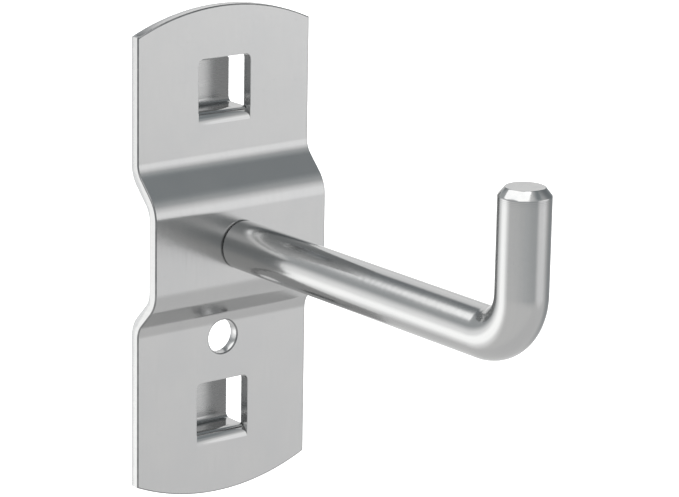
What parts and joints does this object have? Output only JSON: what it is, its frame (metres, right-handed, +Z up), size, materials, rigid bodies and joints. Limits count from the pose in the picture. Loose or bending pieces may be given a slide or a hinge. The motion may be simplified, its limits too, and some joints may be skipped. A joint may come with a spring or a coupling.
{
  "type": "pegboard hook",
  "caption": "Steel hook for a perforated board: a bent plate with rear pegs and a lock-screw hole carries a straight round rod with an upturned, chamfered end.",
  "frame": {"origin": "on the board's front face, midway between the ends and between the sides of the back plate", "axes": "+X to the right seen from the front, +Y back into the board, +Z up; the rod points along -Y"},
  "size_m": [0.0248, 0.0623, 0.06],
  "materials": {
    "plate_steel": "bright plated, satin",
    "rod_steel": "bright plated, satin"
  },
  "bodies": {
    "root": {"back_plate": "plate_steel", "hook_rod": "rod_steel"}
  },
  "joints": []
}
